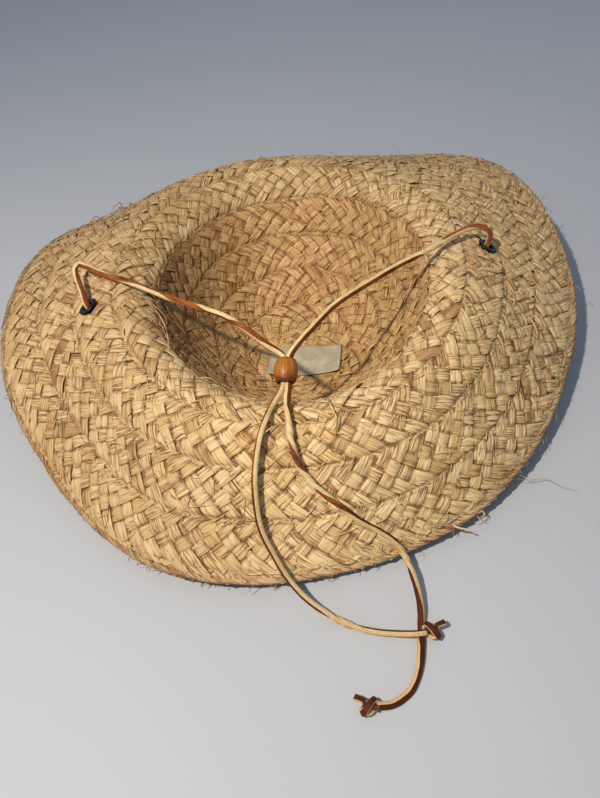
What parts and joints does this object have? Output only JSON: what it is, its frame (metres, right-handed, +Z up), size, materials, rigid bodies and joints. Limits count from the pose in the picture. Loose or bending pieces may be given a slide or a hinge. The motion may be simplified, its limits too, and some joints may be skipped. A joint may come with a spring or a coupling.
{
  "type": "straw hat",
  "caption": "Wide-brimmed plaited straw hat lying on its crown, with a leather chin lace through metal eyelets and a wooden bead.",
  "frame": {"origin": "middle of the hat's own bounding box on the table, below the flat outer tip of the crown; the lace, its bead and its knots aren't counted", "axes": "+Z up off the table, out of the head opening; +Y away from the side where the lace's ends lie; +X towards the wearer's right eyelet"},
  "size_m": [0.3718, 0.4319, 0.0822],
  "materials": {
    "crown_straw": "plaited raffia, matt",
    "brim_straw": "plaited raffia, matt",
    "edge_straw": "narrow plaited raffia, matt",
    "eyelet_metal": "black, semi-gloss",
    "label_cloth": "woven, matt",
    "bead_wood": "varnished, glossy",
    "lace_leather": "smooth face with pale cut edges"
  },
  "bodies": {
    "root": {"crown": "crown_straw", "brim": "brim_straw", "brim_edge": "edge_straw", "eyelet_left": "eyelet_metal", "eyelet_right": "eyelet_metal", "label": "label_cloth", "bead": "bead_wood", "lace_left": "lace_leather", "lace_right": "lace_leather", "lace_round_crown": "lace_leather", "knot_left": "lace_leather", "knot_right": "lace_leather"}
  },
  "joints": []
}
